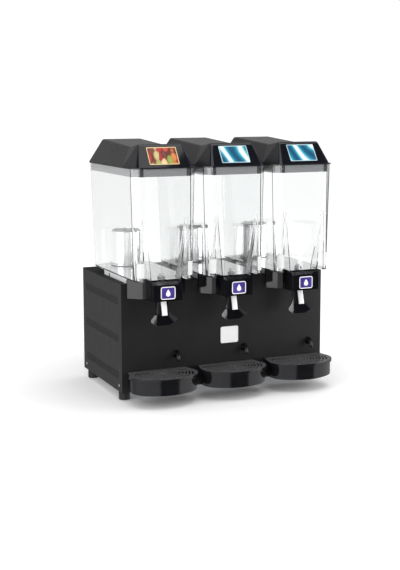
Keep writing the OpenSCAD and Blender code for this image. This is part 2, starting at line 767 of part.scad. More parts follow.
module lid() color([0.06, 0.06, 0.07]) difference() {
    flange = plan(lid_w / 2, front_w / 2 + 2, nose_y - 5, rim_rear + 3, bowl_corner_r + 2, 0);
    skirt_out = -bowl_wall - slide_gap;
    skirt_low = rim_z - skirt_h;
    union() {
        translate([0, 0, rim_z]) linear_extrude(flange_t) polygon(flange);
        translate([0, 0, skirt_low]) linear_extrude(skirt_h + 1) polygon(bowl_plan(skirt_low, skirt_out));
        lid_form(0);
    }
    lid_form(lid_wall);
    translate([0, 0, skirt_low - 1]) linear_extrude(skirt_h + flange_t + 0.8)
        polygon(bowl_plan(skirt_low, skirt_out - lid_wall));
    front_face_frame() translate([-panel_w / 2 - fit_gap, panel_up - fit_gap, -panel_t])
        cube([panel_w + 2 * fit_gap, panel_h + 2 * fit_gap, 10]);
}

module lid_panel() color([0.3, 0.5, 0.7])
    front_face_frame() translate([-panel_w / 2, panel_up, -panel_t]) cube([panel_w, panel_h, panel_t - 0.4]);

// Tap

// Outline of the cover from above: wings that follow the bowl's foot, and the box round the tap
wing_front = 38;
wing_knee = [66, 31];
function cover_plan(inset) = let (b = front_y - 0.6, w = low_half - inset) [
    [-w, b], [-w, front_y - 5], [-wing_knee.x + inset, front_y - wing_knee.y + inset],
    [-cover_w / 2 - 4 + inset, front_y - wing_front + inset], [-cover_w / 2 + inset, front_y - cover_reach + inset],
    [cover_w / 2 - inset, front_y - cover_reach + inset], [cover_w / 2 + 4 - inset, front_y - wing_front + inset],
    [wing_knee.x - inset, front_y - wing_knee.y + inset], [w, front_y - 5], [w, b]];
cover_bevel_h = 9;
cover_bevel_d = cover_reach - nose_reach + 1;

module cover_bevel(drop) translate([-cover_w, 0, 0]) rotate([90, 0, 90]) linear_extrude(2 * cover_w)
    polygon([[front_y - cover_reach - 1, bowl_z - cover_bevel_h - drop - cover_bevel_h / cover_bevel_d],
             [front_y - cover_reach - 1, bowl_z + 5],
             [front_y - cover_reach + cover_bevel_d * (1 + 5 / cover_bevel_h), bowl_z + 5],
             [front_y - cover_reach + cover_bevel_d, bowl_z - drop]]);

module tap_cover() color([0.05, 0.05, 0.06]) difference() {
    union() {
        difference() {
            translate([0, 0, cover_low]) linear_extrude(cover_h) polygon(cover_plan(0));
            difference() {
                translate([0, 0, cover_low - 1]) linear_extrude(cover_h + 1 - cover_wall) polygon(cover_plan(cover_wall));
                cover_bevel(cover_wall);
            }
            cover_bevel(0);
        }
        both_sides() translate([ear_x, 0, 0]) rotate([90, 0, 90]) linear_extrude(ear_t) {
            translate([pivot_y, pivot_z]) circle(r = 8);
            translate([pivot_y - 8, pivot_z]) square([16, bowl_z - cover_wall - pivot_z + 0.5]);
        }
    }
    translate([0, pivot_y, pivot_z]) rotate([0, 90, 0])
        cylinder(r = trunnion_r + run_gap, h = 2 * (ear_x + ear_t) + 4, center = true);
    tap_frame() translate([0, 0, -boss_down - 6]) cylinder(r = boss_r + slide_gap, h = 40);
}

module tap_spout() color("white") tap_frame() difference() {
    top = -boss_down + socket_d - fit_gap;
    translate([0, 0, -spout_l]) cylinder(r = spout_r, h = spout_l + top);
    translate([0, 0, -spout_l - 1]) cylinder(r = flow_r + 0.5, h = spout_l + top + 2);
    translate([-spout_r - 1, -pin_r - 0.3, -pivot_drop - pin_r - 0.3])
        cube([2 * spout_r + 2, 2 * pin_r + 0.6, stem_travel + 2 * pin_r + 0.6]);
}

// Stem that lifts its seal off the outlet, with the cross pin that the lever holds
module valve_stem() color("white") {
    tap_frame() {
        translate([0, 0, -pivot_drop - 8]) cylinder(r = stem_r, h = pivot_drop + 8 + boss_up + 1);
        translate([0, 0, boss_up + 0.1]) rotate_extrude() {
            square([flow_r + 4, 3]);
            square([flow_r + 2, 6]);
            square([3, 10]);
        }
    }
    translate([0, pin_y, pin_z]) rotate([0, 90, 0]) cylinder(r = pin_r, h = neck_w - 1, center = true);
}

// Push lever: forked arms on trunnions, a neck behind the spout and a pad with two cheeks
neck_drop = 18;
neck_y = pivot_offset - neck_drop * tan(tap_lean) + spout_r / cos(tap_lean) + 1.4;
neck_lean = 5.5;
flare_from = 30;
flare_to = 59;
flare_steps = 6;
pad_low = 66;
foot_half = 20;

// Section of the lever across its length: a strip with both sides folded forward
module lever_section() {
    fold = neck_w / 2 - 0.3;
    mitre = fold + lever_t * tan(cheek_angle / 2);
    reach = pad_w / 2 + 2 * lever_t;
    edge = -(reach - fold) * tan(cheek_angle);
    polygon([[-fold, 0], [fold, 0], [reach, edge], [reach, edge + lever_t / cos(cheek_angle)], [mitre, lever_t],
             [-mitre, lever_t], [-reach, edge + lever_t / cos(cheek_angle)], [-reach, edge]]);
}

// Outline of the lever from the front: a neck that flares into the pad
module lever_outline() {
    half = neck_w / 2;
    flare = [for (k = [0 : flare_steps]) let (t = k / flare_steps)
        [half + (pad_w / 2 - half) * t * t, -flare_from - (flare_to - flare_from) * t]];
    right = concat([[half, 0]], flare, [[pad_w / 2, -pad_low], [foot_half, -lever_l]]);
    polygon(concat(right, [for (k = [len(right) - 1 : -1 : 0]) [-right[k][0], right[k][1]]]));
}

module lever_plates() intersection() {
    translate([0, 0, -lever_l - 1]) linear_extrude(lever_l + 2) lever_section();
    translate([0, pad_w, 0]) rotate([90, 0, 0]) linear_extrude(2 * pad_w) lever_outline();
}

module tap_lever() color([0.05, 0.05, 0.06]) translate([0, pivot_y, pivot_z]) {
    slot_half = pin_r + 0.5;
    difference() {
        both_sides() {
            translate([neck_w / 2 - arm_t, 0, 0]) rotate([90, 0, 90]) linear_extrude(arm_t) {
                circle(r = 7);
                polygon([[0, -7], [neck_y - 1, -neck_drop - 6], [neck_y + lever_t, -neck_drop - 6],
                         [neck_y + lever_t + 2, 6], [neck_y, 8], [0, 7]]);
            }
            translate([neck_w / 2 - 1, 0, 0]) rotate([0, 90, 0]) cylinder(r = trunnion_r, h = 1 + arm_gap + ear_t + 0.5);
        }
        translate([-neck_w, pivot_offset - 3.5, -slot_half]) cube([2 * neck_w, 8.5, 2 * slot_half]);
    }
    translate([0, neck_y, -neck_drop]) rotate([-neck_lean, 0, 0]) lever_plates();
}

// Drip tray and grid

front_arc_y = front_y - tray_reach + tray_front_r;
corner_x = tray_half - tray_corner_r;
corner_y = front_arc_y - sqrt(pow(tray_front_r - tray_corner_r, 2) - corner_x * corner_x);
tray_back_half = tray_half - 11;

// Outline of the tray: a gentle front curve that runs into two round corners
module tray_plan(inset) {
    wedge = 2 * tray_front_r / (tray_front_r - tray_corner_r);
    back = tray_back - inset;
    reach = 2 * tray_reach;
    intersection() {
        translate([-tray_half, back - reach]) square([2 * tray_half, reach]);
        union() {
            intersection() {
                translate([0, front_arc_y]) circle(r = tray_front_r - inset);
                polygon([[0, front_arc_y], [-corner_x * wedge, front_arc_y + (corner_y - front_arc_y) * wedge],
                         [corner_x * wedge, front_arc_y + (corner_y - front_arc_y) * wedge]]);
            }
            for (s = [-1, 1]) translate([s * corner_x, corner_y]) circle(r = tray_corner_r - inset);
            polygon([[-tray_back_half + inset, back], [-tray_half + inset, corner_y], [-corner_x, corner_y],
                     [0, corner_y - tray_corner_r / 2], [corner_x, corner_y], [tray_half - inset, corner_y],
                     [tray_back_half - inset, back]]);
        }
    }
}

// Tray with a rim band; the grid rests on the step inside the band
module drip_tray() color([0.07, 0.07, 0.075]) {
    floor_h = 3;
    difference() {
        union() {
            translate([0, 0, tray_top - tray_band_h]) linear_extrude(tray_band_h) tray_plan(0);
            translate([0, 0, tray_z]) linear_extrude(tray_h - 1) tray_plan(tray_band_out);
            for (s = [-1, 1]) translate([s * tongue_x - tongue_w / 2, tray_back - tray_band_out - 1, tongue_z])
                cube([tongue_w, tongue_l + tray_band_out + 1, tongue_t]);
        }
        translate([0, 0, tray_z + floor_h]) linear_extrude(tray_h) tray_plan(tray_band_out + tray_wall);
        translate([0, 0, grid_z]) linear_extrude(tray_h) tray_plan(tray_rim);
    }
}

hub_y = front_y - 46;
hub_r = 12;

module drip_grid() color([0.1, 0.1, 0.105]) {
    rings = 9;
    ribs = 10;
    rib_w = 4;
    slit_w = 3;
    slit_pitch = 7.4;
    slits = floor((2 * tray_back_half - 40) / slit_pitch);
    edge = tray_rim + slide_gap;
    border = 9;
    translate([0, 0, grid_z + 0.1]) linear_extrude(grid_t) difference() {
        tray_plan(edge);
        difference() {
            intersection() {
                tray_plan(edge + border);
                translate([0, hub_y]) union() for (k = [0 : rings - 1]) difference() {
                    circle(r = hub_r + 8 + k * ring_pitch + ring_slot);
                    circle(r = hub_r + 8 + k * ring_pitch);
                }
                translate([-tray_half, front_y - tray_reach]) square([2 * tray_half, tray_reach - 20]);
            }
            translate([0, hub_y]) for (a = [0 : ribs - 1]) rotate(a * 360 / ribs) translate([0, -rib_w / 2])
                square([tray_reach, rib_w]);
        }
        for (k = [0 : slits]) translate([(k - slits / 2) * slit_pitch - slit_w / 2, front_y - 13]) square([slit_w, 6]);
        translate([0, hub_y]) circle(r = 5);
    }
    translate([0, hub_y, grid_z + grid_t]) difference() {
        cylinder(r = hub_r, h = 1.1);
        translate([0, 0, -1]) cylinder(r = 5, h = 3);
    }
}

// Evaporator and mixer

module evaporator() color("gainsboro") translate([0, evaporator_y, 0]) {
    difference() {
        union() {
            translate([0, 0, deck_low - 3]) cylinder(r = evaporator_r, h = evaporator_top - deck_low + 3);
            translate([0, 0, deck_low - 3]) cylinder(r = flange_r, h = 3);
        }
        translate([0, 0, deck_low - 4]) cylinder(r = evaporator_r - evaporator_wall,
                                                 h = evaporator_top - deck_low + 4 - evaporator_wall);
    }
    translate([0, 0, evaporator_top - 0.5]) cylinder(r = spindle_r, h = impeller_h + 2);
}

// Low impeller that turns on the spindle
module impeller() color([0.9, 0.9, 0.9]) translate([0, evaporator_y, evaporator_top + 0.3]) {
    disc_r = evaporator_r - 3;
    disc_t = 2;
    vanes = 6;
    difference() {
        union() {
            cylinder(r = disc_r, h = disc_t);
            cylinder(r = spindle_r + 5, h = impeller_h);
            for (k = [0 : vanes - 1]) rotate(k * 360 / vanes) translate([spindle_r + 3, -1, disc_t - 0.5])
                cube([disc_r - spindle_r - 7, 2, impeller_h - disc_t - 1]);
        }
        translate([0, 0, -1]) cylinder(r = spindle_r + run_gap, h = impeller_h + 2);
    }
}

// Shaft and magnet inside the evaporator that turn the impeller through its top
module drive_magnet() color([0.3, 0.3, 0.32]) translate([0, evaporator_y, 0]) {
    magnet_h = 12;
    magnet_top = evaporator_top - evaporator_wall - 3;
    translate([0, 0, magnet_top - magnet_h]) cylinder(r = evaporator_r - evaporator_wall - 8, h = magnet_h);
    translate([0, 0, motor_plate_z - 18]) cylinder(r = shaft_r, h = magnet_top - magnet_h - motor_plate_z + 18.5);
}

base_plate();
front_panel();
left_side_panel();
right_side_panel();
rear_panel();
top_deck();
feet();
panel_screws();
compressor();
condenser();
fan_motor();
fan_blade();
refrigerant_pipes();
power_inlet();
mixer_motors();
drain_spouts();
bowl_gaskets();
switch_housings();
cooling_switch();
mixer_switch();
thermostat_knob();
for (i = [0 : 2]) at_station(i) {
    station = STATIONS[i];
    bowl();
    bowl_clips();
    tap_cover();
    tap_spout();
    tap_lever();
    valve_stem();
    lid();
    lid_panel();
    drip_tray();
    drip_grid();
    evaporator();
    impeller();
    drive_magnet();
}
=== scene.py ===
"""Looks of a cold drink dispenser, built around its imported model. All lengths are in metres."""
import json
import math

import bmesh
import bpy
from mathutils import Matrix, Vector


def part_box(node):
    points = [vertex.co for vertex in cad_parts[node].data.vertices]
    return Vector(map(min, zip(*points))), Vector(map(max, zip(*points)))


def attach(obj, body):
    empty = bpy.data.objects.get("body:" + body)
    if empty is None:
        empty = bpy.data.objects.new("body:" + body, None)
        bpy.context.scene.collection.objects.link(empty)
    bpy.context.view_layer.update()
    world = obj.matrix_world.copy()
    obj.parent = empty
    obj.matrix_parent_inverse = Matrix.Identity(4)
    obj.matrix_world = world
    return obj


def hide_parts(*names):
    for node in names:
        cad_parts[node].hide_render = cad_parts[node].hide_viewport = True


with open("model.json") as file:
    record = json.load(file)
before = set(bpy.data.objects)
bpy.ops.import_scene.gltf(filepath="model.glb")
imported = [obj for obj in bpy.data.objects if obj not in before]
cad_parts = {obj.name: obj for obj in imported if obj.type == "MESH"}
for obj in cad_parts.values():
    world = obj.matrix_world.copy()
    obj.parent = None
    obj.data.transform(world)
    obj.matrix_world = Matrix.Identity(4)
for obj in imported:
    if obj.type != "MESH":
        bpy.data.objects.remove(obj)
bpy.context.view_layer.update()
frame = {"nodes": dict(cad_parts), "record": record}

STATIONS = ("left", "middle", "right")
STATION_PITCH = 0.222
BOWL_FLOOR = 0.361                 # underside of the bowls' floors
PANEL_LEAN = math.radians(34)      # how far the lids' sloped fronts lean back from upright
UPRIGHT = math.radians(90)
SUNK = 0.0001                      # how deep a plate's back sits in the face that carries it
FACING = 0.9                       # least upright part of the normal of a level face
NOISE_RANGE = (0.3, 0.7)           # where most of a noise texture's values lie
PRINT_GLOSS = (0.12, 0.2)          # limits of the roughness of the lid prints


# Finishes

def set_inputs(node, values):
    """Set a node's plain input values by name."""
    for name, value in values.items():
        node.inputs[name].default_value = value


def finish_of(name, colour, roughness, metallic=0.0, specular=0.5):
    """A new material with its shader's plain values set."""
    material = bpy.data.materials.new(name)
    material.use_nodes = True
    shader = material.node_tree.nodes["Principled BSDF"]
    set_inputs(shader, {"Base Color": (*colour, 1.0), "Roughness": roughness,
                        "Metallic": metallic, "Specular IOR Level": specular})
    return material, material.node_tree, shader


def own_place(tree, stretch=(1, 1, 1), turn=(0, 0, 0)):
    """The piece's own coordinates, stretched or turned."""
    place = tree.nodes.new("ShaderNodeTexCoord")
    mapping = tree.nodes.new("ShaderNodeMapping")
    set_inputs(mapping, {"Scale": stretch, "Rotation": turn})
    tree.links.new(place.outputs["Object"], mapping.inputs["Vector"])
    return mapping.outputs["Vector"]


def noise(tree, scale, detail=3.0, stretch=(1, 1, 1)):
    """A noise texture on the piece's own coordinates."""
    texture = tree.nodes.new("ShaderNodeTexNoise")
    set_inputs(texture, {"Scale": scale, "Detail": detail})
    tree.links.new(own_place(tree, stretch), texture.inputs["Vector"])
    return texture.outputs["Fac"]


def spread(tree, value, start, end):
    """The value carried over from one range to another."""
    node = tree.nodes.new("ShaderNodeMapRange")
    set_inputs(node, {"From Min": start[0], "From Max": start[1],
                      "To Min": end[0], "To Max": end[1]})
    tree.links.new(value, node.inputs["Value"])
    return node.outputs["Result"]


def reckoned(tree, operation, *values):
    """A sum on sockets and plain numbers."""
    node = tree.nodes.new("ShaderNodeMath")
    node.operation = operation
    for place, value in enumerate(values):
        if isinstance(value, (int, float)):
            node.inputs[place].default_value = value
        else:
            tree.links.new(value, node.inputs[place])
    return node.outputs["Value"]


def shades(tree, factor, stops):
    """A ramp through colours, each at its place between 0 and 1."""
    ramp = tree.nodes.new("ShaderNodeValToRGB")
    elements = ramp.color_ramp.elements
    while len(elements) < len(stops):
        elements.new(0.5)
    for element, (position, colour) in zip(elements, stops):
        element.position = position
        element.color = (*colour, 1.0)
    tree.links.new(factor, ramp.inputs["Fac"])
    return ramp.outputs["Color"]


def two_tones(tree, factor, first, second):
    """A soft change from one colour to another."""
    return shades(tree, factor, [(0.35, first), (0.65, second)])


def multiplied(tree, first, second):
    """Two colours, multiplied."""
    mix = tree.nodes.new("ShaderNodeMix")
    mix.data_type = "RGBA"
    mix.blend_type = "MULTIPLY"
    mix.inputs["Factor"].default_value = 1.0
    tree.links.new(first, mix.inputs["A"])
    tree.links.new(second, mix.inputs["B"])
    return mix.outputs["Result"]


def uneven_gloss(tree, shader, texture, limits):
    """Roughness that follows a noise texture between two limits."""
    tree.links.new(spread(tree, texture, NOISE_RANGE, limits), shader.inputs["Roughness"])


def bumped(tree, shader, factor, strength, distance):
    """Fine relief of the surface."""
    bump = tree.nodes.new("ShaderNodeBump")
    set_inputs(bump, {"Strength": strength, "Distance": distance})
    tree.links.new(factor, bump.inputs["Height"])
    tree.links.new(bump.outputs["Normal"], shader.inputs["Normal"])


def coating(name, colour, lighter, roughness, grain=1500, relief=0.00012, specular=0.5):
    """Paint or moulded plastic: a little uneven in tone and gloss, with a fine grain."""
    material, tree, shader = finish_of(name, colour, roughness[0], specular=specular)
    tone = two_tones(tree, noise(tree, scale=30, detail=6), colour, lighter)
    tree.links.new(tone, shader.inputs["Base Color"])
    uneven_gloss(tree, shader, noise(tree, scale=240, detail=4), roughness)
    bumped(tree, shader, noise(tree, grain, detail=2), strength=0.35, distance=relief)
    return material


def metal(name, colour, darker, roughness, stretch=(1, 1, 1), grain=420):
    """Drawn or brushed metal, with its lines along one direction."""
    material, tree, shader = finish_of(name, colour, roughness[0], metallic=1.0)
    lines = noise(tree, grain, detail=4, stretch=stretch)
    tree.links.new(two_tones(tree, lines, darker, colour), shader.inputs["Base Color"])
    uneven_gloss(tree, shader, lines, roughness)
    bumped(tree, shader, lines, strength=0.08, distance=0.00005)
    return material


def clear_plastic(name):
    """Crystal clear moulding with the faintest haze in patches."""
    material, tree, shader = finish_of(name, (0.966, 0.972, 0.972), 0.0)
    set_inputs(shader, {"Transmission Weight": 1.0, "IOR": 1.49})
    uneven_gloss(tree, shader, noise(tree, scale=30, detail=3), (0.0, 0.012))
    return material


def frosted_plastic(name, clearness, roughness, polish):
    """Pale, cloudy moulding that lets some light through, under a clear polish."""
    material, tree, shader = finish_of(name, (0.86, 0.88, 0.89), roughness[0])
    set_inputs(shader, {"Transmission Weight": clearness, "Coat Weight": polish})
    uneven_gloss(tree, shader, noise(tree, scale=200, detail=4), roughness)
    return material


def skirt_grey_with_painted_shade(name, grey, black, shade_span):
    """Grey plastic with black blocks of painted shade at the corners, the same at every station.

    The last argument gives the distances from a station's middle at which the black painted shade
    starts and ends.
    """
    material, tree, shader = finish_of(name, grey, 0.4)
    ramp_scale, blur = 10, 0.002
    split = tree.nodes.new("ShaderNodeSeparateXYZ")
    tree.links.new(own_place(tree), split.inputs["Vector"])
    across = reckoned(tree, "WRAP", split.outputs["X"], STATION_PITCH / 2, -STATION_PITCH / 2)
    distance = reckoned(tree, "MULTIPLY", reckoned(tree, "ABSOLUTE", across), ramp_scale)
    start, end = (ramp_scale * edge for edge in shade_span)
    # Black painted shade between the two distances from a station's middle, grey elsewhere
    tones = shades(tree, distance, [(start - blur, grey), (start, black),
                                    (end, black), (end + blur, grey)])
    tree.links.new(tones, shader.inputs["Base Color"])
    uneven_gloss(tree, shader, noise(tree, scale=240, detail=4), (0.35, 0.42))
    return material


def pebble_print(name):
    """Warm print of round shapes in reds, oranges and creams under a clear gloss."""
    material, tree, shader = finish_of(name, (0.5, 0.1, 0.05), 0.16)
    cells = tree.nodes.new("ShaderNodeTexVoronoi")
    set_inputs(cells, {"Scale": 56, "Randomness": 0.7})
    place = own_place(tree, turn=(PANEL_LEAN, 0, 0), stretch=(1, 1, 0.2))
    tree.links.new(place, cells.inputs["Vector"])
    pick = tree.nodes.new("ShaderNodeSeparateColor")
    tree.links.new(cells.outputs["Color"], pick.inputs["Color"])
    pebbles = shades(tree, pick.outputs["Red"], [
        (0.0, (0.22, 0.008, 0.012)), (0.25, (0.52, 0.022, 0.018)), (0.45, (0.62, 0.16, 0.03)),
        (0.62, (0.75, 0.36, 0.11)), (0.78, (0.82, 0.62, 0.36)), (0.92, (0.30, 0.36, 0.06))])
    shadow = shades(tree, cells.outputs["Distance"], [
        (0.0, (1, 1, 1)), (0.48, (0.82, 0.74, 0.70)), (0.60, (0.22, 0.07, 0.05))])
    tree.links.new(multiplied(tree, pebbles, shadow), shader.inputs["Base Color"])
    uneven_gloss(tree, shader, noise(tree, scale=90), PRINT_GLOSS)
    return material


def wave_print(name):
    """Teal print with pale slanting waves under a clear gloss."""
    material, tree, shader = finish_of(name, (0.03, 0.25, 0.4), 0.16)
    waves = tree.nodes.new("ShaderNodeTexWave")
    set_inputs(waves, {"Scale": 6.5, "Distortion": 5.5, "Detail": 1.5, "Detail Scale": 1.2})
    tree.links.new(own_place(tree, turn=(PANEL_LEAN, 0.5, 0.4)), waves.inputs["Vector"])
    sea = shades(tree, waves.outputs["Fac"], [
        (0.0, (0.010, 0.075, 0.145)), (0.35, (0.016, 0.17, 0.28)), (0.62, (0.05, 0.33, 0.44)),
        (0.82, (0.35, 0.62, 0.70)), (0.95, (0.80, 0.88, 0.90))])
    tree.links.new(sea, shader.inputs["Base Color"])
    uneven_gloss(tree, shader, noise(tree, scale=90), PRINT_GLOSS)
    return material


# Paints and plastics: two close colours, the limits of the roughness, then grain and relief
FRONT_COAT = coating("front powder coat", (0.010, 0.010, 0.0103), (0.012, 0.012, 0.0123),
                     (0.42, 0.48))
SIDE_COAT = coating("side powder coat", (0.026, 0.026, 0.0255), (0.030, 0.030, 0.0295),
                    (0.50, 0.58), specular=0.3)
DECK_COAT = coating("deck powder coat", (0.008, 0.008, 0.008), (0.012, 0.012, 0.012),
                    (0.55, 0.65), specular=0.2)
GLOSS_BLACK = coating("gloss black plastic", (0.0035, 0.0036, 0.0050), (0.0055, 0.0056, 0.0075),
                      (0.06, 0.11), 500, 0.00002)
BROW_BLACK = coating("deep gloss black plastic", (0.0030, 0.0034, 0.0062),
                     (0.0042, 0.0048, 0.0085), (0.04, 0.08), 400, 0.00001)
LID_BLACK = coating("satin lid plastic", (0.014, 0.014, 0.016), (0.016, 0.016, 0.018),
                    (0.24, 0.28), 900, 0.00001)
TRAY_BLACK = coating("tray black plastic", (0.0055, 0.0057, 0.0070), (0.0080, 0.0083, 0.0100),
                     (0.09, 0.14), 700, 0.00002)
SATIN_BLACK = coating("satin black plastic", (0.010, 0.010, 0.012), (0.016, 0.016, 0.018),
                      (0.22, 0.30), 900, 0.00006)
# The grid's black plastic is painted mid grey: painted sheen in place of the reflections on its
# rings
GRID_BLACK_PAINTED_SHEEN = coating("grid black plastic with painted sheen", (0.085, 0.085, 0.088), (0.098, 0.098, 0.102),
                     (0.14, 0.20), 900, 0.00002)
# The clips are the same white plastic as WHITE_PLASTIC, painted greyer as painted shade
CLIP_WHITE_PAINTED_SHADE = coating("white clip plastic with painted shade", (0.68, 0.69, 0.69), (0.72, 0.73, 0.73),
                       (0.22, 0.32), 700, 0.00004)
WHITE_PLASTIC = coating("white plastic", (0.88, 0.89, 0.89), (0.91, 0.91, 0.91),
                        (0.22, 0.32), 700, 0.00004)
RUBBER = coating("black rubber", (0.010, 0.010, 0.010), (0.016, 0.016, 0.016),
                 (0.6, 0.75), 900, 0.0002)
MOTOR_PAINT = coating("grey motor paint", (0.20, 0.21, 0.22), (0.26, 0.27, 0.28), (0.45, 0.6))
ENAMEL = coating("black enamel", (0.010, 0.010, 0.011), (0.016, 0.016, 0.017),
                 (0.25, 0.38), 300, 0.0002)
SWITCH_GREEN = coating("green switch plastic", (0.02, 0.30, 0.06), (0.03, 0.36, 0.08), (0.2, 0.3))
PURPLE_ENAMEL = coating("purple enamel", (0.050, 0.032, 0.200), (0.072, 0.048, 0.260),
                        (0.14, 0.2), 600, 0.00003)
WHITE_ENAMEL = coating("white enamel", (0.89, 0.89, 0.90), (0.92, 0.92, 0.92),
                       (0.16, 0.24), 600, 0.00003)
GREY_LINE = coating("grey printed line", (0.16, 0.16, 0.17), (0.20, 0.20, 0.21), (0.4, 0.5))
GOLD_EDGE = coating("cream gold edging", (0.72, 0.52, 0.26), (0.80, 0.62, 0.34),
                    (0.22, 0.3), 600, 0.00003)
PALE_EDGE = coating("pale blue edging", (0.42, 0.60, 0.66), (0.50, 0.68, 0.73),
                    (0.22, 0.3), 600, 0.00003)
RIM_GREY = coating("grey rim plastic", (0.43, 0.44, 0.45), (0.46, 0.47, 0.48),
                   (0.35, 0.42), 700, 0.00002)

# Prints, a skirt grey with painted shade, and clear plastics
# The skirt's front takes a darker grey than RIM_GREY on its sides, and black blocks at its corners:
# both are painted shade
SKIRT_FRONT_PAINTED_SHADE = skirt_grey_with_painted_shade("grey rim plastic with painted shade at front and corners", grey=(0.33, 0.34, 0.35),
                         black=(0.004, 0.004, 0.006), shade_span=(0.065, 0.0785))
PEBBLES = pebble_print("warm pebble print")
WAVES = wave_print("teal wave print")
CLEAR = clear_plastic("clear polycarbonate")
FROSTED = frosted_plastic("frosted seat plastic", clearness=0.35, roughness=(0.38, 0.52),
                          polish=0.0)
HAZY = frosted_plastic("hazy floor plastic", clearness=0.4, roughness=(0.05, 0.11), polish=1.0)

# Metals: a bright and a dark colour, the limits of the roughness, then the stretch of the lines
STAINLESS = metal("polished stainless steel", (0.99, 0.99, 1.0), (0.96, 0.96, 0.97),
                  (0.12, 0.18), (1, 1, 0.03))
SHEET_STEEL = metal("zinc sheet", (0.55, 0.56, 0.57), (0.42, 0.43, 0.44), (0.35, 0.5), grain=60)
SCREW_STEEL = metal("bright screw steel", (0.86, 0.86, 0.86), (0.70, 0.70, 0.70),
                    (0.18, 0.3), grain=900)
COPPER = metal("drawn copper", (0.85, 0.45, 0.27), (0.62, 0.30, 0.17), (0.2, 0.35), (0.05, 1, 1))
FIN_ALUMINIUM = metal("fin aluminium", (0.75, 0.76, 0.77), (0.6, 0.61, 0.62),
                      (0.25, 0.4), (1, 1, 0.1))


# Building

def dress(obj, material):
    """Put only this material on a piece."""
    obj.data.materials.clear()
    obj.data.materials.append(material)


def alone(obj):
    """Select one object and make it active."""
    bpy.ops.object.select_all(action="DESELECT")
    obj.select_set(True)
    bpy.context.view_layer.objects.active = obj


def body_of_node(node):
    """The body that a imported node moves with."""
    bodies = frame["record"]["behaviour"]["bodies"]
    return next(body for body, members in bodies.items() if node in members)


def rounded(piece, width, segments, angle):
    """Round the active piece's sharp edges, smooth them and keep the large faces flat."""
    bevel = piece.modifiers.new("edges", "BEVEL")
    bevel.width = width
    bevel.segments = segments
    bevel.limit_method = "ANGLE"
    bevel.angle_limit = math.radians(angle)
    bpy.ops.object.modifier_apply(modifier="edges")
    bpy.ops.object.shade_smooth()
    piece.modifiers.new("even", "WEIGHTED_NORMAL").keep_sharp = True
    bpy.ops.object.modifier_apply(modifier="even")


def softened(node, material, edge, segments=2):
    """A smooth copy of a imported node, with small rounded edges, in its place."""
    piece = bpy.data.objects.new(node + "_moulding", frame["nodes"][node].data.copy())
    bpy.context.scene.collection.objects.link(piece)
    alone(piece)
    bpy.ops.object.mode_set(mode="EDIT")
    bpy.ops.mesh.select_all(action="SELECT")
    bpy.ops.mesh.remove_doubles(threshold=0.00002)
    bpy.ops.mesh.dissolve_limited(angle_limit=math.radians(0.6))
    bpy.ops.object.mode_set(mode="OBJECT")
    rounded(piece, edge, segments, angle=30)
    dress(piece, material)
    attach(piece, body_of_node(node))
    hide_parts(node)
    return piece


def repaint(piece, material, wanted):
    """Give the faces that are wanted, by middle and normal, another material."""
    piece.data.materials.append(material)
    for face in piece.data.polygons:
        if wanted(face.center, face.normal):
            face.material_index = len(piece.data.materials) - 1


def select_faces(piece, wanted):
    """In edit mode, select only the faces that are wanted."""
    bpy.ops.mesh.select_mode(type="FACE")
    bpy.ops.mesh.select_all(action="DESELECT")
    mesh = bmesh.from_edit_mesh(piece.data)
    for face in mesh.faces:
        face.select = bool(wanted(face))
    mesh.select_flush_mode()
    bmesh.update_edit_mesh(piece.data)


def plaque(name, size, corner, rim, thickness, recess):
    """Flat plate with round corners and a raised rim, lying on z = 0 with its face up."""
    bpy.ops.object.select_all(action="DESELECT")
    bpy.ops.mesh.primitive_plane_add(size=1, location=(0, 0, 0))
    piece = bpy.context.active_object
    piece.name = name
    piece.scale = (*size, 1)
    bpy.ops.object.transform_apply(location=False, rotation=False, scale=True)
    bpy.ops.object.mode_set(mode="EDIT")
    bpy.ops.mesh.select_all(action="SELECT")
    bpy.ops.mesh.bevel(affect="VERTICES", offset=corner, segments=6)
    bpy.ops.mesh.select_all(action="SELECT")
    bpy.ops.mesh.extrude_region_move(TRANSFORM_OT_translate={"value": (0, 0, thickness)})
    select_faces(piece, lambda f: f.normal.z > 0.5 and f.calc_center_median().z > thickness / 2)
    bpy.ops.mesh.inset(thickness=rim)
    bpy.ops.mesh.extrude_region_move(TRANSFORM_OT_translate={"value": (0, 0, -recess)})
    bpy.ops.mesh.select_all(action="SELECT")
    bpy.ops.mesh.normals_make_consistent(inside=False)
    bpy.ops.object.mode_set(mode="OBJECT")
    rounded(piece, recess / 3, segments=2, angle=40)
    return piece


def recessed(reach_x, reach_y):
    """A test for the recessed face of a plaque: face up, and within reach of its middle."""
    return lambda c, n: n.z > FACING and abs(c.x) < reach_x and abs(c.y) < reach_y


def drop(name, radius, thickness):
    """Raised drop shape, lying on z = 0 with its point along +Y."""
    narrowing, stretching = 0.55, 0.9
    bpy.ops.object.select_all(action="DESELECT")
    bpy.ops.mesh.primitive_circle_add(vertices=32, radius=radius, fill_type="NGON",
                                      location=(0, 0, 0))
    piece = bpy.context.active_object
    piece.name = name
    for vertex in piece.data.vertices:
        rise = max(vertex.co.y / radius, 0)
        vertex.co.x *= 1 - narrowing * rise ** 2
        vertex.co.y *= 1 + stretching * rise
    bpy.ops.object.mode_set(mode="EDIT")
    bpy.ops.mesh.select_all(action="SELECT")
    bpy.ops.mesh.extrude_region_move(TRANSFORM_OT_translate={"value": (0, 0, thickness)})
    bpy.ops.mesh.select_all(action="SELECT")
    bpy.ops.mesh.normals_make_consistent(inside=False)
    bpy.ops.object.mode_set(mode="OBJECT")
    rounded(piece, thickness / 3, segments=2, angle=40)
    return piece


def set_down(piece, origin, turn_x):
    """Move a piece made at the origin to its place, turned about X, and fix that in its mesh."""
    alone(piece)
    piece.matrix_world = Matrix.Translation(Vector(origin)) @ Matrix.Rotation(turn_x, 4, "X")
    bpy.ops.object.transform_apply(location=True, rotation=True, scale=True)


